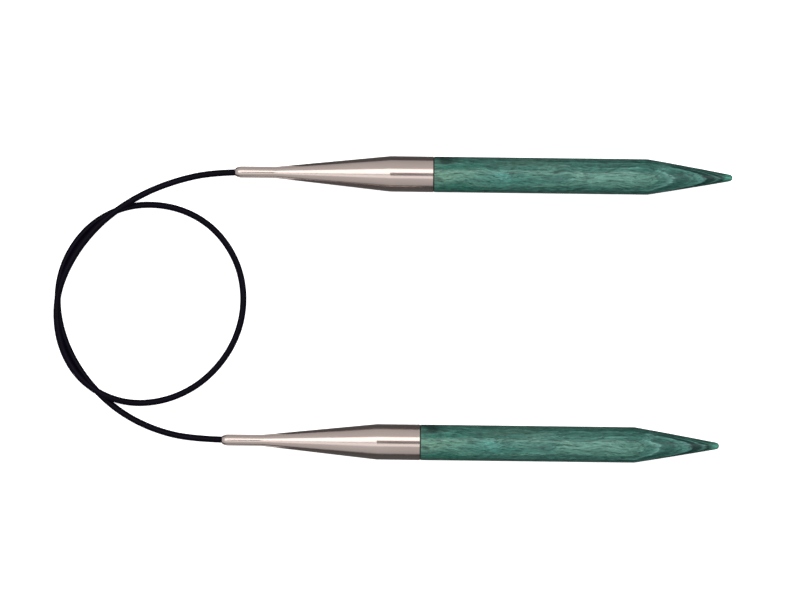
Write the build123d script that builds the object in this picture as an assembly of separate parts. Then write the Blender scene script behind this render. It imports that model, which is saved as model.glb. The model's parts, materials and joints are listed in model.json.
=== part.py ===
"""Circular knitting needle: two laminated wood tips in metal ferrules, joined by one flexible cable.

Millimetres, +Z up. The needles lie along X on the plane z = 0, their points towards +X.
The origin is on that plane, under the middle of the box round both needles.
Every needle piece is first made along its own X axis, with x = 0 at the ferrule's cable end.
"""

import math
import os

from build123d import *

# Needles, as they lie side by side
needle_dia = 10.0
needle_gap = 75.3  # from axis to axis
needle_length = 139.6  # ferrule and wood, point to cable end
stagger = 2.85  # needle a lies this much further towards +X

# Ferrule, outside
ferrule_length = 55.6
collar_dia = 3.2
collar_length = 11.2
barrel_length = 12.1
lip_dia = 2.2
lip_length = 1.7
collar_blend = 14.0  # radius where the collar runs into the cone
barrel_blend = 4.0  # radius where the cone runs into the barrel
rim_chamfer = 0.12

# Ferrule, inside
cable_hole_dia = 1.96
step_depth = 2.9  # the bead is held back by this step
chamber_dia = 2.4
chamber_end = 12.0
cavity_end_dia = 7.4
socket_dia = 8.4
socket_depth = 13.0

# Cable, its crimped bead and the stop behind the bead
cable_dia = 1.8
cable_tail = 6.5  # length inside each ferrule
bead_dia = 2.24
bead_length = 4.0
bead_bore_dia = 1.84
bead_round = 0.15
play = 0.1  # end clearance of the bead
stop_length = 3.5

# Wood
glue_film = 0.1
glue_seam = 0.25  # visible line of glue at the ferrule's mouth
seam_recess = 0.1
taper_length = 23.8
taper_fullness = 0.05  # how far the taper's flank bows out at its middle
tip_radius = 0.98
ply_thickness = 0.8
first_glue_plane = 4.5  # height of the topmost joint between plies, above the axis
ply_roll = 13.0  # degrees that the plies lie rolled about the needle's axis
ply_count = 13

# Cable route between the ferrules, along its centreline
lead_out = 5.5  # straight run outside each ferrule
axis_z = needle_dia / 2
floor_z = cable_dia / 2
over_z = 5.7  # height over the crossings, 3 mm clear of the strand below
sharpest_share = 0.45  # share of the shorter run that each bend takes

needle_y = needle_gap / 2
nose_a = Vector(stagger - (needle_length + stagger) / 2, needle_y, axis_z)
nose_b = Vector(-(needle_length + stagger) / 2, -needle_y, axis_z)

route = [
    (nose_a.X + cable_tail, nose_a.Y, axis_z),
    (nose_a.X - lead_out, nose_a.Y, axis_z),
    (-86.1, 34.8, 5.3),
    (-97.0, 30.0, over_z),
    (-106.9, 22.6, over_z),
    (-114.5, 12.7, over_z),
    (-118.8, 1.3, over_z),
    (-117.6, -11.8, over_z),
    (-111.2, -22.2, over_z),
    (-99.9, -27.9, over_z),
    (-87.7, -27.3, 3.2),
    (-76.7, -21.7, floor_z),
    (-68.6, -11.8, floor_z),
    (-65.3, -0.2, floor_z),
    (-67.1, 12.0, floor_z),
    (-74.4, 22.4, floor_z),
    (-85.3, 28.0, floor_z),
    (-98.0, 28.4, floor_z),
    (-109.2, 23.0, floor_z),
    (-116.7, 12.6, floor_z),
    (-118.8, 0.5, floor_z),
    (-116.0, -11.4, floor_z),
    (-109.5, -22.1, floor_z),
    (-100.2, -30.6, floor_z),
    (-88.5, -35.9, 3.2),
    (nose_b.X - lead_out, nose_b.Y, axis_z),
    (nose_b.X + cable_tail, nose_b.Y, axis_z),
]


def turned(*lines):
    """A solid of revolution about X from a closed outline of (x, radius)."""
    return revolve(make_face(Curve() + list(lines)), axis=Axis.X)


def ferrule():
    """Spun metal sleeve: thin collar, long cone and barrel, hollow all through."""
    lip = Polyline((0, cable_hole_dia / 2), (0, lip_dia / 2))
    shell = FilletPolyline(
        (lip_length, collar_dia / 2),
        (collar_length, collar_dia / 2),
        (ferrule_length - barrel_length, needle_dia / 2),
        (ferrule_length - rim_chamfer, needle_dia / 2),
        radius=[collar_blend, barrel_blend],
    )
    nose = TangentArc(shell @ 0, lip @ 1, tangent=(-1, 0))
    inside = Polyline(
        shell @ 1,
        (ferrule_length, needle_dia / 2 - rim_chamfer),
        (ferrule_length, socket_dia / 2),
        (ferrule_length - socket_depth, socket_dia / 2),
        (ferrule_length - socket_depth, cavity_end_dia / 2),
        (chamber_end, chamber_dia / 2),
        (step_depth, chamber_dia / 2),
        (step_depth, cable_hole_dia / 2),
        lip @ 0,
    )
    return turned(lip, nose, shell, inside)


def bead():
    """Crimp sleeve closed at its inner end, on the end of the cable."""
    start = step_depth + play
    blind_end = cable_tail + play / 2
    outline = Polyline(
        (start, bead_bore_dia / 2),
        (start, bead_dia / 2 - bead_round),
        (start + bead_round, bead_dia / 2),
        (start + bead_length - bead_round, bead_dia / 2),
        (start + bead_length, bead_dia / 2 - bead_round),
        (start + bead_length, 0),
        (blind_end, 0),
        (blind_end, bead_bore_dia / 2),
        close=True,
    )
    return turned(outline)


def bead_stop():
    """Slug pressed in behind the bead, so the bead turns but can't slide back."""
    start = step_depth + bead_length + 2 * play
    slug = Cylinder(chamber_dia / 2, stop_length, align=(Align.CENTER, Align.CENTER, Align.MIN))
    return Pos(start, 0, 0) * Rot(0, 90, 0) * slug


def glue_line():
    """Film of glue round the tenon, ending in the thin dark line at the ferrule's mouth."""
    tenon_end = ferrule_length - socket_depth + play
    outline = Polyline(
        (tenon_end, socket_dia / 2 - glue_film),
        (tenon_end, socket_dia / 2),
        (ferrule_length, socket_dia / 2),
        (ferrule_length, needle_dia / 2 - seam_recess),
        (ferrule_length + glue_seam, needle_dia / 2 - seam_recess),
        (ferrule_length + glue_seam, socket_dia / 2 - glue_film),
        close=True,
    )
    return turned(outline)


def wood_blank():
    """The whole turned wood: tenon, straight shank and pointed tip."""
    shoulder = needle_length - taper_length
    tip_centre = needle_length - tip_radius
    run = tip_centre - shoulder
    reach = math.hypot(run, needle_dia / 2)
    slope = math.atan2(needle_dia / 2, run) - math.asin(tip_radius / reach)
    half_way = (math.pi / 2 - slope) / 2
    flank = Vector(math.sin(slope), math.cos(slope))  # square to the taper, outwards
    body = Polyline(
        (needle_length, 0),
        (ferrule_length - socket_depth + play, 0),
        (ferrule_length - socket_depth + play, socket_dia / 2 - glue_film),
        (ferrule_length + glue_seam, socket_dia / 2 - glue_film),
        (ferrule_length + glue_seam, needle_dia / 2),
        (shoulder, needle_dia / 2),
    )
    taper_end = Vector(tip_centre, 0) + flank * tip_radius
    taper_middle = (body @ 1 + taper_end) / 2 + flank * taper_fullness
    taper = ThreePointArc(body @ 1, taper_middle, taper_end)
    point = ThreePointArc(
        taper_end,
        (tip_centre + tip_radius * math.cos(half_way), tip_radius * math.sin(half_way)),
        body @ 0,
    )
    return turned(body, taper, point)


def veneers():
    """The blank cut along its glue planes into single plies, the top one first."""
    blank = wood_blank()
    top = needle_dia
    plies = []
    for index in range(ply_count):
        is_last = index == ply_count - 1
        bottom = -needle_dia if is_last else first_glue_plane - index * ply_thickness
        slab = Box(3 * needle_length, 2 * needle_dia, top - bottom)
        layer = Rot(ply_roll, 0, 0) * Pos(0, 0, (top + bottom) / 2) * slab
        plies.append((blank & layer).solid())
        top = bottom
    return plies


def bend_radii(points):
    """The largest radius that each corner's two runs leave room for."""
    radii = []
    for before, corner, after in zip(points, points[1:], points[2:]):
        arriving = Vector(corner) - Vector(before)
        leaving = Vector(after) - Vector(corner)
        half_turn = math.radians(arriving.get_angle(leaving) / 2)
        shorter = min(arriving.length, leaving.length)
        radii.append(sharpest_share * shorter / math.tan(half_turn))
    return radii


def cable():
    """One round cable, its ends inside the two beads."""
    radii = bend_radii(route)
    path = FilletPolyline(*route, radius=radii)
    section = Plane(origin=path @ 0, z_dir=path % 0) * Circle(cable_dia / 2)
    tube = sweep(section, path=path)
    expected = math.pi * (cable_dia / 2) ** 2 * path.length
    print("cable bend radii, mm:", [round(radius, 1) for radius in radii])
    print(f"cable length {path.length:.1f} mm, volume {tube.volume:.1f} of {expected:.1f} mm3")
    return tube


def needle(letter, nose):
    """All the pieces of one needle and of the cable end in it, in place, by node name."""
    place = Pos(nose.X, nose.Y, nose.Z)
    pieces = {
        f"needle_{letter}_ferrule": place * ferrule(),
        f"needle_{letter}_bead_stop": place * bead_stop(),
        f"needle_{letter}_glue_line": place * glue_line(),
        f"cable_bead_{letter}": place * bead(),
    }
    for number, ply in enumerate(veneers(), start=1):
        pieces[f"needle_{letter}_veneer_{number:02d}"] = place * ply
    return pieces


os.makedirs("parts", exist_ok=True)
nodes = {"cable": cable()} | needle("a", nose_a) | needle("b", nose_b)
for name, shape in nodes.items():
    export_step(shape, f"parts/{name}.step")
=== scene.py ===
"""Looks for the circular knitting needle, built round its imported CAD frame.

Metres, +Z up, needles along X with their points towards +X. Outlines are written in millimetres
along each needle's own axis, with x = 0 at the ferrule's cable end.
"""

import json
import math

import bmesh
import bpy
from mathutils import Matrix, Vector


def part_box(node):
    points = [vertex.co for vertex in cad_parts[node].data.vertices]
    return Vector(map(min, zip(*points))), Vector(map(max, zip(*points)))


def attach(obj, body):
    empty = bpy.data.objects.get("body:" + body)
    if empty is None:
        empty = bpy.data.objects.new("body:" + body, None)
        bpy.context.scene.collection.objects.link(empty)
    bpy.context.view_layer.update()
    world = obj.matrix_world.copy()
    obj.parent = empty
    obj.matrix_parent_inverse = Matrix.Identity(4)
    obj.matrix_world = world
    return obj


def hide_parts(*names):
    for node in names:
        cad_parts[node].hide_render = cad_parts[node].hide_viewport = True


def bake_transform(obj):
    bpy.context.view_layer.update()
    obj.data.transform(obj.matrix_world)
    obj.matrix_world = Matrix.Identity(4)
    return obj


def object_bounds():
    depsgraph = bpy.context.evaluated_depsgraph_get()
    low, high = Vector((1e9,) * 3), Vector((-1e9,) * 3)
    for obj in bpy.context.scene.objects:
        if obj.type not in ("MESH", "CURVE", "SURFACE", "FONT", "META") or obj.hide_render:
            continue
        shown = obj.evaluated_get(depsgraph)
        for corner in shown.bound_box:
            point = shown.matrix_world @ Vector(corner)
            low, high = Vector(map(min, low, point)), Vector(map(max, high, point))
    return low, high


MM = 0.001

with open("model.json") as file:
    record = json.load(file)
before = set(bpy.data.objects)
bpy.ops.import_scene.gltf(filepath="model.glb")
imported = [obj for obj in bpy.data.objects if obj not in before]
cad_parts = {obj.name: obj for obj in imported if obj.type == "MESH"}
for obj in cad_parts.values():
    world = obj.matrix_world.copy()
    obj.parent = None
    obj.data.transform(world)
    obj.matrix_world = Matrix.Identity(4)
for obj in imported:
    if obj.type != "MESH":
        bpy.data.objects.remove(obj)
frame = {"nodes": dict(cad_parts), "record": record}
cad_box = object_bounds()

# Sizes read from the frame

NEEDLES = ("a", "b")


def nose_of(letter):
    """The point on the needle's axis where the cable goes into the ferrule, in metres."""
    low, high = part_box(f"needle_{letter}_ferrule")
    return Vector((low.x, (low.y + high.y) / 2, (low.z + high.z) / 2))


def reach_of(node, end):
    """Where a piece of needle a starts (0) or ends (1) along its axis, in millimetres."""
    return (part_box(node)[end].x - NOSE["a"].x) / MM


NOSE = {letter: nose_of(letter) for letter in NEEDLES}
SHANK_RADIUS = frame["record"]["mounts"][0]["dims"]["r_mm"]
FERRULE_END = reach_of("needle_a_ferrule", 1)
TENON_START = reach_of("needle_a_veneer_07", 0)
SEAM = reach_of("needle_a_veneer_01", 0)
POINT = reach_of("needle_a_veneer_07", 1)

# Sizes that the CAD model also has, in millimetres

COLLAR_RADIUS = 1.6
COLLAR_LENGTH = 11.2
BARREL_LENGTH = 12.1
COLLAR_BLEND = 14.0
BARREL_BLEND = 4.0
LIP_RADIUS = 1.1
LIP_LENGTH = 1.7
RIM = 0.12
CABLE_HOLE_RADIUS = 0.98
STEP_DEPTH = 2.9
CHAMBER_RADIUS = 1.2
CHAMBER_END = 12.0
CAVITY_RADIUS = 3.7
SOCKET_RADIUS = 4.2
SOCKET_DEPTH = 13.0
GLUE_FILM = 0.1
SEAM_RECESS = 0.1
TAPER_LENGTH = 23.8
TAPER_FULLNESS = 0.05
TIP_RADIUS = 0.98
FIRST_GLUE_PLANE = 4.5
PLY_THICKNESS = 0.8
PLY_COUNT = 13
PLY_ROLL = math.radians(13.0)
CABLE_RADIUS = 0.9
TAIL = 6.5  # length of cable inside each ferrule
LEAD_OUT = 5.5  # straight run of cable outside each ferrule


# Mesh helpers


def circle(segments):
    """(cosine, sine) of evenly spaced turns."""
    turns = [2 * math.pi * step / segments for step in range(segments)]
    return [(math.cos(turn), math.sin(turn)) for turn in turns]


def finish_mesh(name, bm, smooth_angle, flat_faces=()):
    """A mesh object from a bmesh, smooth except at sharp edges and round its flat faces."""
    bmesh.ops.recalc_face_normals(bm, faces=bm.faces)
    limit = math.radians(smooth_angle)
    for face in bm.faces:
        face.smooth = True
    for edge in bm.edges:
        edge.smooth = len(edge.link_faces) == 2 and edge.calc_face_angle(0) < limit
    for face in flat_faces:
        if face.is_valid:
            for edge in face.edges:
                edge.smooth = False
    mesh = bpy.data.meshes.new(name)
    bm.to_mesh(mesh)
    bm.free()
    piece = bpy.data.objects.new(name, mesh)
    bpy.context.scene.collection.objects.link(piece)
    return piece


def bridge(bm, rings):
    """Faces between following rings of vertices, as one list for each pair of rings."""
    bands = []
    for ring, following in zip(rings, rings[1:]):
        band = []
        for step in range(len(ring)):
            after = (step + 1) % len(ring)
            band.append(bm.faces.new((ring[step], ring[after], following[after], following[step])))
        bands.append(band)
    return bands


def lathe(name, outline, origin, segments):
    """A closed outline of (x, radius) in millimetres, turned about the needle's axis."""
    bm = bmesh.new()
    rings = []
    for x, radius in outline:
        places = [Vector((x, radius * cosine, radius * sine)) for cosine, sine in circle(segments)]
        rings.append([bm.verts.new(origin + place * MM) for place in places])
    bridge(bm, rings + rings[:1])
    return finish_mesh(name, bm, smooth_angle=30)


def rounded(before, corner, after, radius, steps):
    """Points that round the gentle corner between two straight runs of an outline."""
    before, corner, after = Vector(before), Vector(corner), Vector(after)
    back, onward = (before - corner).normalized(), (after - corner).normalized()
    run = radius / math.tan(back.angle(onward) / 2)
    start, end = corner + back * run, corner + onward * run
    points = []
    for step in range(steps + 1):
        share = step / steps
        pull = 2 * share * (1 - share)
        points.append(tuple(start * (1 - share) ** 2 + corner * pull + end * share**2))
    return points


# Material helpers


MIX_FIRST, MIX_SECOND, MIX_RESULT = 6, 7, 2  # a Mix node's colour sockets


class Nodes:
    """Adds nodes to one node tree, and gives back the output that the next one takes."""

    def __init__(self, tree):
        self.tree = tree

    def put(self, socket, value):
        """Link another node's output to the socket, or set it to a constant."""
        if isinstance(value, bpy.types.NodeSocket):
            self.tree.links.new(value, socket)
        else:
            socket.default_value = value

    def node(self, kind, inputs, output, **settings):
        """A new node with these inputs and settings, as its named output."""
        node = self.tree.nodes.new(kind)
        for key, value in settings.items():
            setattr(node, key, value)
        for key, value in inputs.items():
            self.put(node.inputs[key], value)
        return node.outputs[output]

    def place(self):
        """Places in the shared frame, in metres, which turn with the piece."""
        return self.node("ShaderNodeTexCoord", {}, "Object")

    def attribute(self, name):
        return self.node("ShaderNodeAttribute", {}, "Vector", attribute_name=name)

    def scaled(self, vector, scale, shift=(0, 0, 0)):
        inputs = {"Vector": vector, "Scale": scale, "Location": shift}
        return self.node("ShaderNodeMapping", inputs, "Vector")

    def noise(self, vector, detail=3.0, roughness=0.5, output="Fac"):
        inputs = {"Vector": vector, "Scale": 1.0, "Detail": detail, "Roughness": roughness}
        return self.node("ShaderNodeTexNoise", inputs, output)

    def math(self, operation, *values):
        inputs = dict(enumerate(values))
        return self.node("ShaderNodeMath", inputs, "Value", operation=operation)

    def vector_math(self, operation, *values):
        inputs = dict(enumerate(values))
        return self.node("ShaderNodeVectorMath", inputs, "Vector", operation=operation)

    def ramp(self, value, *stops):
        """Colours, or greys, at places from 0 to 1."""
        node = self.tree.nodes.new("ShaderNodeValToRGB")
        self.put(node.inputs["Fac"], value)
        elements = node.color_ramp.elements
        for _ in range(len(stops) - len(elements)):
            elements.new(1.0)
        for element, (position, colour) in zip(elements, stops):
            element.position = position
            element.color = (*colour, 1) if isinstance(colour, tuple) else (colour, colour, colour, 1)
        return node.outputs["Color"]

    def height_ramp(self, height, stops):
        """Colours at heights in millimetres above the needle's axis."""
        place = self.math("MULTIPLY_ADD", height, 0.5 / SHANK_RADIUS, 0.5)
        return self.ramp(place, *[(0.5 + 0.5 * level / SHANK_RADIUS, colour) for level, colour in stops])

    def patch(self, place, centre, size):
        """1 inside a soft oval at a place in the wood, falling to 0 at its rim."""
        outward = self.vector_math("DIVIDE", self.vector_math("SUBTRACT", place, centre), size)
        distance = self.node("ShaderNodeVectorMath", {0: outward}, "Value", operation="LENGTH")
        return self.ramp(distance, (0.35, 1.0), (1.0, 0.0))

    def mix(self, share, first, second, blend="MIX"):
        node = self.tree.nodes.new("ShaderNodeMix")
        node.data_type = "RGBA"
        node.blend_type = blend
        colours = [(*colour, 1) if isinstance(colour, tuple) else colour for colour in (first, second)]
        self.put(node.inputs["Factor"], share)
        self.put(node.inputs[MIX_FIRST], colours[0])
        self.put(node.inputs[MIX_SECOND], colours[1])
        return node.outputs[MIX_RESULT]


class Shader(Nodes):
    """One material, painted by the nodes put before its surface shader."""

    def __init__(self, name):
        self.material = bpy.data.materials.new(name)
        self.material.use_nodes = True
        super().__init__(self.material.node_tree)
        self.surface = self.tree.nodes["Principled BSDF"]

    def bump(self, height, depth):
        """Small relief, depth in metres."""
        inputs = {"Height": height, "Distance": depth, "Strength": 1.0}
        self.put(self.surface.inputs["Normal"], self.node("ShaderNodeBump", inputs, "Normal"))

    def set(self, **values):
        """Inputs of the surface shader, by their names with underscores for spaces."""
        for key, value in values.items():
            self.put(self.surface.inputs[key.replace("_", " ")], value)


# Materials


def nickel(name):
    """Polished nickel plate: warm grey, with faint turning rings, hair scratches and haze."""
    shader = Shader(name)
    place = shader.place()
    haze = shader.noise(shader.scaled(place, (60, 260, 260)), detail=5)
    rings = shader.noise(shader.scaled(place, (7000, 30, 30)), detail=2)
    hairs = shader.noise(shader.scaled(place, (90, 4200, 4200)), detail=3)
    shader.set(Base_Color=shader.ramp(haze, (0.3, (0.80, 0.66, 0.61)), (0.7, (0.85, 0.72, 0.67))))
    shader.set(Metallic=1.0, Roughness=shader.ramp(haze, (0.3, 0.13), (0.7, 0.20)))
    shader.bump(shader.math("ADD", rings, hairs), depth=0.000004)
    return shader.material


def nylon(name):
    """Smooth black nylon with a slight orange peel."""
    shader = Shader(name)
    place = shader.place()
    drift = shader.noise(shader.scaled(place, (90, 90, 90)))
    peel = shader.noise(shader.scaled(place, (1500, 1500, 1500)), detail=2)
    shades = shader.ramp(drift, (0.35, (0.0016, 0.0007, 0.0032)), (0.65, (0.0024, 0.0012, 0.0060)))
    shader.set(Base_Color=shades, Roughness=shader.ramp(drift, (0.3, 0.12), (0.7, 0.18)))
    shader.set(Specular_IOR_Level=0.08)
    shader.bump(peel, depth=0.000003)
    return shader.material


def epoxy(name):
    """Cured dark glue."""
    shader = Shader(name)
    grain = shader.noise(shader.scaled(shader.place(), (900, 900, 900)))
    shader.set(Base_Color=shader.ramp(grain, (0.3, (0.010, 0.014, 0.014)), (0.7, (0.030, 0.036, 0.034))))
    shader.set(Roughness=shader.ramp(grain, (0.3, 0.45), (0.7, 0.6)))
    shader.bump(grain, depth=0.00002)
    return shader.material


def steel(name):
    """Plain turned steel of the crimped beads and their stops."""
    shader = Shader(name)
    rings = shader.noise(shader.scaled(shader.place(), (7000, 60, 60)))
    shader.set(Base_Color=shader.ramp(rings, (0.3, (0.42, 0.41, 0.39)), (0.7, (0.58, 0.57, 0.54))))
    shader.set(Metallic=1.0, Roughness=shader.ramp(rings, (0.3, 0.28), (0.7, 0.40)))
    shader.bump(rings, depth=0.00001)
    return shader.material


PALE, TEAL, DEEP = (0.080, 0.208, 0.164), (0.036, 0.126, 0.098), (0.002, 0.030, 0.024)
LEAF = (0.085, 0.390, 0.275)
PLY_COLOURS_AND_RIM_SHADE = (  # on the taper: height above the axis in millimetres, colour
    (-4.5, TEAL),
    (-3.3, DEEP),
    (-2.5, PALE),
    (-1.3, TEAL),
    # painted shade: the middle plies about the axis are dark so that, seen from above, the point's rim
    # looks shaded
    (-0.9, (0.020, 0.082, 0.064)),
    (0.85, (0.020, 0.082, 0.064)),
    (1.10, (0.040, 0.150, 0.118)),
    (1.20, DEEP),
    (1.38, DEEP),
    (1.57, (0.052, 0.150, 0.126)),
    (1.75, DEEP),
    (2.12, DEEP),
    (2.22, (0.050, 0.150, 0.130)),
    (2.40, (0.068, 0.200, 0.174)),
    (2.85, (0.036, 0.138, 0.112)),
    (3.05, (0.040, 0.142, 0.116)),
    (3.20, (0.020, 0.086, 0.070)),
    (3.45, (0.014, 0.074, 0.060)),
    (3.62, (0.024, 0.104, 0.086)),
    (3.80, (0.110, 0.280, 0.240)),
    (4.10, (0.044, 0.146, 0.118)),
    (4.35, (0.036, 0.130, 0.104)),
    (4.60, (0.058, 0.168, 0.132)),
)
SHANK_COLOURS = (  # on the straight shank
    (-4.5, TEAL),
    (0.0, (0.052, 0.150, 0.118)),
    (2.5, (0.046, 0.140, 0.110)),
    (3.9, (0.040, 0.130, 0.102)),
    (4.35, (0.040, 0.136, 0.108)),
    (4.62, PALE),
)
FIGURE = (  # (place from the seam, across), (half length, half width), colour
    ((25, 4.2), (12, 1.6), (0.050, 0.125, 0.096)),
    ((50, 0.6), (13, 2.1), (0.106, 0.240, 0.194)),
    ((43, 1.1), (4, 1.8), (0.116, 0.256, 0.206)),
    ((23, -0.9), (16, 1.9), (0.034, 0.150, 0.120)),
    ((6, 2.9), (10, 1.5), (0.022, 0.125, 0.092)),
    ((8, -3.6), (12, 1.5), (0.026, 0.135, 0.098)),
    ((1, 0.1), (12, 2.6), (0.120, 0.250, 0.185)),
    ((19, 0.8), (7, 2.2), (0.074, 0.246, 0.210)),
    ((15, 3.1), (3, 1.1), (0.022, 0.088, 0.070)),
    ((27, 1.1), (3, 1.2), (0.044, 0.134, 0.110)),
    ((35, 3.1), (4.5, 1.2), (0.078, 0.184, 0.150)),
    ((35, 0), (4.5, 1.6), (0.040, 0.122, 0.104)),
    ((0.5, -0.8), (1.8, 1.6), (0.050, 0.112, 0.088)),
    ((4.5, 4.7), (5, 0.9), (0.006, 0.020, 0.017)),
    ((59.5, 3.0), (4, 1.2), (0.030, 0.116, 0.092)),
    ((64, 2.7), (2.8, 1.3), (0.078, 0.214, 0.178)),
    ((61.5, 4.3), (5, 0.9), (0.026, 0.094, 0.076)),
    ((68, 3.4), (5, 0.9), (0.026, 0.094, 0.076)),
    ((84, 0), (3.5, 3.0), LEAF),
)
ANY_HEIGHT = 100  # half height of a patch that goes right through the wood
SEED_STEP = (31.0, 7.7, 5.3)  # how far apart two needles' grains are taken
RAGGEDNESS = 0.5  # how far streaks push the plies' borders about, in millimetres
PORE_COLOUR = (0.010, 0.040, 0.033)


def painted_plies(shader, flowing, streaks):
    """Each ply's own dye, with the thin lines of glue between plies, and painted shade in the taper's
    middle plies, which darkens the point's rim seen from above.
    """
    up = shader.node("ShaderNodeSeparateXYZ", {"Vector": flowing}, "Z")
    level = shader.math("SUBTRACT", up, RAGGEDNESS / 2)
    ragged = shader.math("MULTIPLY_ADD", streaks, RAGGEDNESS, level)
    along = shader.node("ShaderNodeSeparateXYZ", {"Vector": flowing}, "X")
    on_shank = shader.ramp(shader.math("DIVIDE", along, POINT - SEAM), (0.60, 0.65), (0.76, 0.0))
    tapered = shader.height_ramp(ragged, PLY_COLOURS_AND_RIM_SHADE)
    straight = shader.height_ramp(ragged, SHANK_COLOURS)
    colour = shader.mix(on_shank, tapered, straight)
    above_plane = shader.math("SUBTRACT", ragged, FIRST_GLUE_PLANE)
    to_line = shader.math("PINGPONG", above_plane, PLY_THICKNESS / 2)
    line = shader.ramp(to_line, (0.0, 0.62), (0.10, 1.0))
    return shader.mix(1.0, colour, line, "MULTIPLY")


def figured(shader, colour, torn, streaks):
    """The colour with the wood's soft oval patches over it, broken up by its streaks."""
    broken = shader.ramp(streaks, (0.3, 0.55), (0.6, 0.95))
    for (centre_x, centre_across), (half_length, half_width), tint in FIGURE:
        centre, size = (centre_x, centre_across, 0), (half_length, half_width, ANY_HEIGHT)
        inside = shader.patch(torn, centre, size)
        colour = shader.mix(shader.math("MULTIPLY", inside, broken), colour, tint)
    return colour


def grained(shader, colour, streaks, fibres, pitted, flecks):
    """The colour with dark and light streaks, fibres, open pores and bright flecks."""
    streaked = shader.ramp(streaks, (0.30, 0.36), (0.46, 0.90), (0.74, 1.38))
    colour = shader.mix(0.9, colour, streaked, "MULTIPLY")
    fibrous = shader.ramp(fibres, (0.30, 0.50), (0.5, 0.98), (0.70, 1.50))
    colour = shader.mix(0.55, colour, fibrous, "MULTIPLY")
    colour = shader.mix(pitted, colour, PORE_COLOUR)
    return shader.mix(1.0, colour, shader.ramp(flecks, (0.60, 1.0), (0.70, 1.45)), "MULTIPLY")


def birch(name, seed):
    """Dyed birch plies under satin lacquer, painted by each point's own place in the wood.

    The attribute ply_place is (millimetres from the seam, across the plies' faces, up through them).
    """
    shader = Shader(name)
    place = shader.attribute("ply_place")
    drift = shader.noise(shader.scaled(place, (0.075, 0.14, 0.14)), detail=1, output="Color")
    centred = shader.vector_math("SUBTRACT", drift, (0.5, 0.5, 0.5))
    flowing = shader.vector_math("ADD", place, shader.vector_math("MULTIPLY", centred, (6, 4.2, 0.6)))
    torn = shader.vector_math("ADD", flowing, shader.vector_math("MULTIPLY", centred, (8, 1.5, 0)))
    loose = shader.vector_math("ADD", flowing, tuple(step * seed for step in SEED_STEP))

    streaks = shader.noise(shader.scaled(loose, (0.24, 1.9, 1.9)), detail=4, roughness=0.62)
    fibres = shader.noise(shader.scaled(loose, (0.55, 3.6, 3.6)), detail=3, roughness=0.65)
    pores = shader.noise(shader.scaled(loose, (0.42, 3.1, 3.1), (40, 0, 0)), detail=2)
    flecks = shader.noise(shader.scaled(loose, (0.9, 4.0, 4.0), (80, 0, 0)), detail=1)
    pitted = shader.ramp(pores, (0.35, 0.75), (0.42, 0.0))

    colour = painted_plies(shader, flowing, streaks)
    colour = figured(shader, colour, torn, streaks)
    colour = grained(shader, colour, streaks, fibres, pitted, flecks)

    shader.set(Base_Color=colour, Roughness=shader.ramp(fibres, (0.3, 0.62), (0.7, 0.50)))
    shader.set(Specular_IOR_Level=0.10, Coat_Weight=0.60, Coat_Roughness=0.10)
    shader.bump(shader.math("SUBTRACT", shader.math("ADD", fibres, streaks), pitted), depth=0.000015)
    return shader.material


# Cable

FLOOR_Z = CABLE_RADIUS
AXIS_Z = NOSE["a"].z / MM
RESTING_Z = 2.75  # where the upper strand lies on the lower one
POINTS_PER_SPAN = 16  # of the smooth line, for each point of the route

ROUTE = [
    (NOSE["a"].x / MM + TAIL, NOSE["a"].y / MM, AXIS_Z),
    (NOSE["a"].x / MM - LEAD_OUT, NOSE["a"].y / MM, AXIS_Z),
    (-86.1, 34.8, 4.6),
    (-97.0, 30.0, 3.5),
    (-106.9, 22.6, 2.8),
    (-114.5, 12.7, RESTING_Z),
    (-118.8, 1.3, RESTING_Z),
    (-117.6, -11.8, RESTING_Z),
    (-111.2, -22.2, RESTING_Z),
    (-99.9, -27.9, RESTING_Z),
    (-87.7, -27.3, 1.3),
    (-76.7, -21.7, FLOOR_Z),
    (-68.6, -11.8, FLOOR_Z),
    (-65.3, -0.2, FLOOR_Z),
    (-67.1, 12.0, FLOOR_Z),
    (-74.4, 22.4, FLOOR_Z),
    (-85.3, 28.0, FLOOR_Z),
    (-98.0, 28.4, FLOOR_Z),
    (-109.2, 23.0, FLOOR_Z),
    (-116.7, 12.6, FLOOR_Z),
    (-118.8, 0.5, FLOOR_Z),
    (-116.0, -11.4, FLOOR_Z),
    (-109.5, -22.1, FLOOR_Z),
    (-100.2, -30.6, FLOOR_Z),
    (-88.5, -35.9, 3.0),
    (NOSE["b"].x / MM - LEAD_OUT, NOSE["b"].y / MM, AXIS_Z),
    (NOSE["b"].x / MM + TAIL, NOSE["b"].y / MM, AXIS_Z),
]


def route_line():
    """Points along the smooth line that the route's points control."""
    curve = bpy.data.curves.new("cable_route", "CURVE")
    curve.dimensions = "3D"
    curve.resolution_u = POINTS_PER_SPAN
    spline = curve.splines.new("NURBS")
    spline.points.add(len(ROUTE) - 1)
    for point, place in zip(spline.points, ROUTE):
        point.co = (*(Vector(place) * MM), 1)
    spline.order_u = 3
    spline.use_endpoint_u = True
    holder = bpy.data.objects.new("cable_route", curve)
    line = [vertex.co.copy() for vertex in bpy.data.meshes.new_from_object(holder).vertices]
    bpy.data.objects.remove(holder)
    return line


def tube(name, line, radius, segments):
    """A round tube with closed ends along a line, its rings carried along without twist."""
    bm = bmesh.new()
    side = Vector((0, 0, 1))
    rings = []
    for index, centre in enumerate(line):
        along = (line[min(index + 1, len(line) - 1)] - line[max(index - 1, 0)]).normalized()
        side = (side - along * side.dot(along)).normalized()
        other = along.cross(side)
        spokes = [side * cosine + other * sine for cosine, sine in circle(segments)]
        rings.append([bm.verts.new(centre + spoke * radius) for spoke in spokes])
    bridge(bm, rings)
    bm.faces.new(reversed(rings[0]))
    bm.faces.new(rings[-1])
    return finish_mesh(name, bm, smooth_angle=40)


def build_cable():
    line = route_line()
    cable = tube("cable_cord", line, CABLE_RADIUS * MM, segments=32)
    cable.data.materials.append(nylon("black_nylon"))
    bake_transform(cable)
    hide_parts("cable")


# Ferrule and glue line


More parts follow.
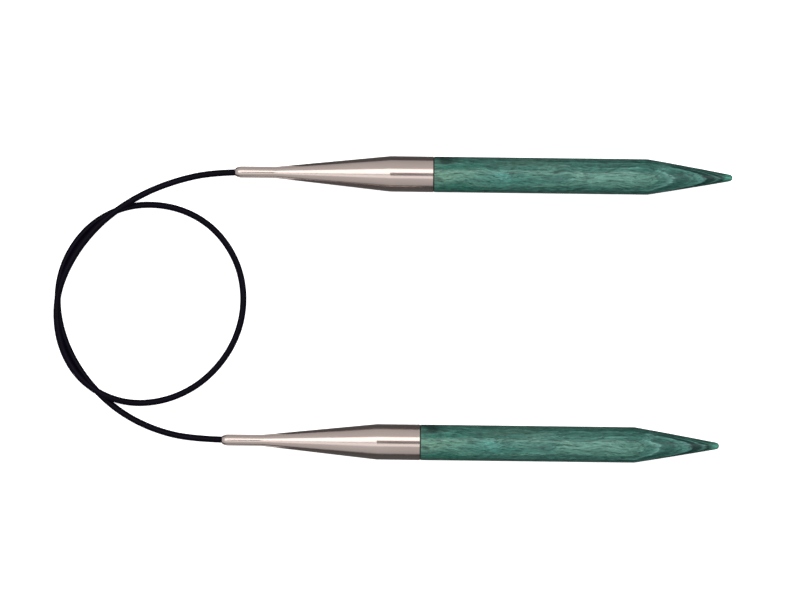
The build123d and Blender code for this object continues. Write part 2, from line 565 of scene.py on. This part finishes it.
def lip_points(steps):
    """The rounded lip at the cable, from its edge to where it meets the collar."""
    drop = COLLAR_RADIUS - LIP_RADIUS
    arc_radius = (LIP_LENGTH**2 + drop**2) / (2 * drop)
    sweep = math.asin(LIP_LENGTH / arc_radius)
    points = []
    for step in range(steps + 1):
        angle = sweep * (1 - step / steps)
        along = LIP_LENGTH - arc_radius * math.sin(angle)
        points.append((along, COLLAR_RADIUS - arc_radius * (1 - math.cos(angle))))
    return points


def ferrule_outline():
    """The sleeve's section, outside from the cable to the wood and then back inside."""
    lip_end = (LIP_LENGTH, COLLAR_RADIUS)
    collar_end = (COLLAR_LENGTH, COLLAR_RADIUS)
    barrel_start = (FERRULE_END - BARREL_LENGTH, SHANK_RADIUS)
    barrel_end = (FERRULE_END - RIM, SHANK_RADIUS)
    outside = lip_points(steps=8)
    outside += rounded(lip_end, collar_end, barrel_start, COLLAR_BLEND, steps=10)
    outside += rounded(collar_end, barrel_start, barrel_end, BARREL_BLEND, steps=6)
    inside = [
        barrel_end,
        (FERRULE_END, SHANK_RADIUS - RIM),
        (FERRULE_END, SOCKET_RADIUS),
        (FERRULE_END - SOCKET_DEPTH, SOCKET_RADIUS),
        (FERRULE_END - SOCKET_DEPTH, CAVITY_RADIUS),
        (CHAMBER_END, CHAMBER_RADIUS),
        (STEP_DEPTH, CHAMBER_RADIUS),
        (STEP_DEPTH, CABLE_HOLE_RADIUS),
        (0, CABLE_HOLE_RADIUS),
    ]
    return outside + inside


def build_ferrule(letter, metal):
    piece = lathe(f"needle_{letter}_ferrule_sleeve", ferrule_outline(), NOSE[letter], segments=160)
    piece.data.materials.append(metal)
    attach(piece, f"needle_{letter}")
    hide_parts(f"needle_{letter}_ferrule")


def build_glue_line(letter, glue):
    inner, outer = SOCKET_RADIUS - GLUE_FILM, SHANK_RADIUS - SEAM_RECESS
    outline = [
        (TENON_START, inner),
        (TENON_START, SOCKET_RADIUS),
        (FERRULE_END, SOCKET_RADIUS),
        (FERRULE_END, outer),
        ((FERRULE_END + SEAM) / 2, outer - SEAM_RECESS / 2),
        (SEAM, outer),
        (SEAM, inner),
    ]
    piece = lathe(f"needle_{letter}_glue_film", outline, NOSE[letter], segments=128)
    piece.data.materials.append(glue)
    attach(piece, f"needle_{letter}")
    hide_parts(f"needle_{letter}_glue_line")


# Laminated wood

SHOULDER = POINT - TAPER_LENGTH
TIP_CENTRE = POINT - TIP_RADIUS
TAPER_SLOPE = math.atan2(SHANK_RADIUS, TIP_CENTRE - SHOULDER) - math.asin(
    TIP_RADIUS / math.hypot(TIP_CENTRE - SHOULDER, SHANK_RADIUS)
)
TAPER_END = TIP_CENTRE + TIP_RADIUS * math.sin(TAPER_SLOPE)
SEAM_SWELL = 1.4  # how much lower the plies' faces lie at the ferrule, in millimetres
SEAM_SETTLE = 12.0  # length over which they settle
WAVER_HEIGHT, WAVER_RUN = 0.10, 5.5  # how the faces waver along the shank, in millimetres
SHANK_STEPS, TAPER_STEPS = 60, 60
RUN_OUT_STEPS, RUN_OUT_LENGTH = 12, 1.6  # the closer stations where a veneer runs out
RUN_OUT_ACCURACY = 1e-5
TENON_STEP = 1e-4  # length over which the tenon steps up to the shank
ARC_STEPS = 8  # round each side of a veneer
MERGE_DISTANCE, SHORTEST_EDGE = 1e-7, 1e-8  # in metres


def wood_radius(x):
    """The turned wood's radius at x, from the tenon to the point."""
    if x < SEAM:
        return SOCKET_RADIUS - GLUE_FILM
    if x <= SHOULDER:
        return SHANK_RADIUS
    if x <= TAPER_END:
        share = (x - SHOULDER) / (TAPER_END - SHOULDER)
        narrow = TIP_RADIUS * math.cos(TAPER_SLOPE)
        bow = TAPER_FULLNESS * 4 * share * (1 - share)
        return SHANK_RADIUS + (narrow - SHANK_RADIUS) * share + bow
    return math.sqrt(max(TIP_RADIUS**2 - (x - TIP_CENTRE) ** 2, 0))


def settled(x):
    """0 at the ferrule, where the plies waver most, to 1 along the shank."""
    return 1 - math.exp(-((max(x - SEAM, 0) / SEAM_SETTLE) ** 2))


def ply_lift(x):
    """How far the plies' faces stand above their flat planes."""
    share = min(max((x - SEAM) / (SHOULDER - SEAM), 0), 1)
    waver = WAVER_HEIGHT * math.sin(math.pi * share) * math.sin((x - SEAM) / WAVER_RUN)
    return SEAM_SWELL * (settled(x) - 1) + waver


def ply_planes():
    """(low, high) of every veneer above the axis, the top one first."""
    cuts = [FIRST_GLUE_PLANE - index * PLY_THICKNESS for index in range(PLY_COUNT - 1)]
    return list(zip([*cuts, -2 * SHANK_RADIUS], [2 * SHANK_RADIUS, *cuts]))


def run_out(low, high):
    """Where the veneer between two planes runs out on the taper or the point."""
    nearest = 0 if low < 0 < high else min(abs(low), abs(high))
    before, beyond = SHOULDER, POINT
    while beyond - before > RUN_OUT_ACCURACY:
        middle = (before + beyond) / 2
        if wood_radius(middle) > nearest:
            before = middle
        else:
            beyond = middle
    return before


def stations():
    """Places along the wood, closer together where a veneer runs out."""
    shank, taper = SHOULDER - SEAM, POINT - SHOULDER
    places = {TENON_START, SEAM - TENON_STEP, SEAM, SHOULDER, TAPER_END}
    places |= {SEAM + shank * step / SHANK_STEPS for step in range(SHANK_STEPS)}
    places |= {SHOULDER + taper * step / TAPER_STEPS for step in range(TAPER_STEPS)}
    for low, high in ply_planes():
        end = run_out(low, high)
        shares = [step / RUN_OUT_STEPS for step in range(RUN_OUT_STEPS + 1)]
        places |= {end - RUN_OUT_LENGTH * share**2 for share in shares}
    return sorted(places)


def section(x, low, high):
    """Points round one veneer at x: down its right side and up its left, in the plies' frame."""
    radius, lift = wood_radius(x), ply_lift(x)
    start = math.acos(min((high + lift) / radius, 1))
    end = math.acos(max((low + lift) / radius, -1))
    angles = [start + (end - start) * step / ARC_STEPS for step in range(ARC_STEPS + 1)]
    right = [(radius * math.sin(angle), radius * math.cos(angle)) for angle in angles]
    return right + [(-across, up) for across, up in reversed(right)]


def veneer_rings(bm, letter, low, high):
    """Rings of vertices along one veneer, each vertex with its own place in the wood."""
    ply_place = bm.verts.layers.float_vector.new("ply_place")
    end = run_out(low, high)
    rings = []
    for x in stations():
        radius, lift = wood_radius(x), ply_lift(x)
        if x > end or low + lift >= radius or high + lift <= -radius:
            continue
        roll = PLY_ROLL * settled(x)
        ring = []
        for across, up in section(x, low, high):
            y = across * math.cos(roll) + up * math.sin(-roll)
            z = up * math.cos(roll) + across * math.sin(roll)
            vertex = bm.verts.new(NOSE[letter] + Vector((x, y, z)) * MM)
            vertex[ply_place] = Vector((x - SEAM, across, up - lift))
            ring.append(vertex)
        rings.append(ring)
    return rings


def build_veneer(letter, number, low, high, wood):
    """One veneer as a closed solid between its two glue faces."""
    bm = bmesh.new()
    rings = veneer_rings(bm, letter, low, high)
    bands = bridge(bm, rings)
    glue_faces = [face for band in bands for face in (band[ARC_STEPS], band[-1])]
    glue_faces += [bm.faces.new(rings[0]), bm.faces.new(rings[-1])]
    bmesh.ops.remove_doubles(bm, verts=bm.verts, dist=MERGE_DISTANCE)
    bmesh.ops.dissolve_degenerate(bm, edges=bm.edges, dist=SHORTEST_EDGE)
    name = f"needle_{letter}_veneer_{number:02d}"
    piece = finish_mesh(f"{name}_ply", bm, smooth_angle=35, flat_faces=glue_faces)
    piece.data.materials.append(wood)
    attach(piece, f"needle_{letter}")
    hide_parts(name)


def build_needle(letter, metal, glue, wood):
    build_ferrule(letter, metal)
    build_glue_line(letter, glue)
    for number, (low, high) in enumerate(ply_planes(), start=1):
        build_veneer(letter, number, low, high, wood)


def paint_hidden(letter, metal):
    """The crimped bead and its stop keep their CAD shapes and only get a material."""
    for node in (f"cable_bead_{letter}", f"needle_{letter}_bead_stop"):
        slots = frame["nodes"][node].data.materials
        slots.clear()
        slots.append(metal)


# Floor, lights and camera

FLOOR_REACH = 20.0  # metres each way
CARD_DRIFT = 0.05  # how unevenly the cards glow, as a share
COLLAR_CARD_X, COLLAR_CARD_Z = 6.0, 0.2  # from the ferrule's cable end, and above the floor
HORIZON_DIP = math.radians(8)
LIGHT_DISTANCE = 1.7
VIEW_DISTANCE, VIEW_WIDTH, SENSOR_WIDTH = 1.25, 0.2247, 36.0
VIEW_TURN = math.radians(0.70)  # the needles' slope in the view
VIEW_ASIDE = Vector((2.3, 2.25, 0)) * MM  # from the middle of the object to the middle of the view


def build_floor():
    """Pale paper, so brightly lit that the needles' shadows stay faint."""
    bm = bmesh.new()
    bmesh.ops.create_grid(bm, x_segments=1, y_segments=1, size=FLOOR_REACH)
    floor = finish_mesh("floor", bm, smooth_angle=30)
    paper = Shader("floor_paper")
    grain = paper.noise(paper.scaled(paper.place(), (60, 60, 60)))
    paper.set(Base_Color=paper.ramp(grain, (0.3, 0.87), (0.7, 0.89)), Roughness=0.9)
    paper.set(Specular_IOR_Level=0.1, Emission_Color=(1, 1, 1, 1), Emission_Strength=0.7)
    floor.data.materials.append(paper.material)
    floor.visible_glossy = False
    floor.visible_diffuse = False


def card(name, centre, size, glow):
    """A glowing card of a size in metres that only shows as a reflection in the object."""
    half_a_metre = 0.5
    bm = bmesh.new()
    bmesh.ops.create_grid(bm, x_segments=1, y_segments=1, size=half_a_metre)
    piece = finish_mesh(name, bm, smooth_angle=30)
    piece.location = centre
    piece.scale = (*size, 1)
    shader = Shader(name)
    grain = shader.noise(shader.place())
    shade = shader.ramp(grain, (0.3, glow * (1 - CARD_DRIFT)), (0.7, glow * (1 + CARD_DRIFT)))
    shader.set(Base_Color=(0, 0, 0, 1), Emission_Color=shade, Emission_Strength=1.0)
    piece.data.materials.append(shader.material)
    piece.visible_camera = False
    piece.visible_diffuse = False
    piece.visible_shadow = False


def build_cards():
    """A grey card round the lens, and a pale one under each collar."""
    card("lens_card", centre=(-0.020, -0.038, 1.3), size=(0.36, 0.44), glow=0.20)
    for letter in NEEDLES:
        under = Vector((NOSE[letter].x + COLLAR_CARD_X * MM, NOSE[letter].y, COLLAR_CARD_Z * MM))
        card(f"collar_card_{letter}", under, size=(0.018, 0.060), glow=0.45)


def build_sky():
    """A grey room, lighter overhead and dark below a horizon that dips towards +Y."""
    world = bpy.data.worlds.new("room")
    bpy.context.scene.world = world
    world.use_nodes = True
    sky = Nodes(world.node_tree)
    direction = sky.node("ShaderNodeTexCoord", {}, "Generated")
    overhead = (0, math.sin(HORIZON_DIP), math.cos(HORIZON_DIP))
    inputs = {0: direction, 1: overhead}
    height = sky.node("ShaderNodeVectorMath", inputs, "Value", operation="DOT_PRODUCT")
    place = sky.math("MULTIPLY_ADD", height, 0.5, 0.5)
    shades = sky.ramp(place, (0.0, 0.10), (0.49, 0.07), (0.52, 0.38), (0.75, 0.47), (1.0, 0.55))
    sky.put(sky.tree.nodes["Background"].inputs["Color"], shades)


def panel(name, tilt, size, radiance):
    """A soft light over the needles, tilted from straight above towards +Y by some degrees."""
    light = bpy.data.lights.new(name, "AREA")
    light.shape = "RECTANGLE"
    light.size, light.size_y = size
    light.energy = radiance * math.pi * size[0] * size[1]
    lamp = bpy.data.objects.new(name, light)
    bpy.context.scene.collection.objects.link(lamp)
    angle = math.radians(tilt)
    lamp.location = Vector((0, math.sin(angle), math.cos(angle))) * LIGHT_DISTANCE
    lamp.rotation_euler = (-angle, 0, 0)
    lamp.visible_camera = False
    return lamp


def build_lights():
    panel("strip_light", tilt=15, size=(2.6, 1.05), radiance=1.0)
    panel("fill_light", tilt=-18, size=(2.6, 0.60), radiance=0.42)
    overhead = panel("overhead_light", tilt=8, size=(0.9, 0.9), radiance=6.0)
    overhead.visible_glossy = False


def build_camera():
    """Straight above through a long lens, turned a little so that the needles slope as they lie."""
    data = bpy.data.cameras.new("camera")
    data.sensor_width = SENSOR_WIDTH
    data.lens = SENSOR_WIDTH * VIEW_DISTANCE / VIEW_WIDTH
    data.clip_start, data.clip_end = 0.01, 10.0
    camera = bpy.data.objects.new("camera", data)
    bpy.context.scene.collection.objects.link(camera)
    centre = (cad_box[0] + cad_box[1]) / 2 + VIEW_ASIDE
    camera.location = (centre.x, centre.y, NOSE["a"].z + VIEW_DISTANCE)
    camera.rotation_euler = (0, 0, VIEW_TURN)
    bpy.context.scene.camera = camera


# The whole scene

build_cable()
ferrule_metal = nickel("nickel_plate")
seam_glue = epoxy("seam_glue")
crimp_steel = steel("crimp_steel")
for index, needle in enumerate(NEEDLES):
    build_needle(needle, ferrule_metal, seam_glue, birch(f"dyed_birch_{needle}", index))
    paint_hidden(needle, crimp_steel)
build_floor()
build_cards()
build_sky()
build_lights()
build_camera()
bpy.context.scene.view_settings.view_transform = "Standard"
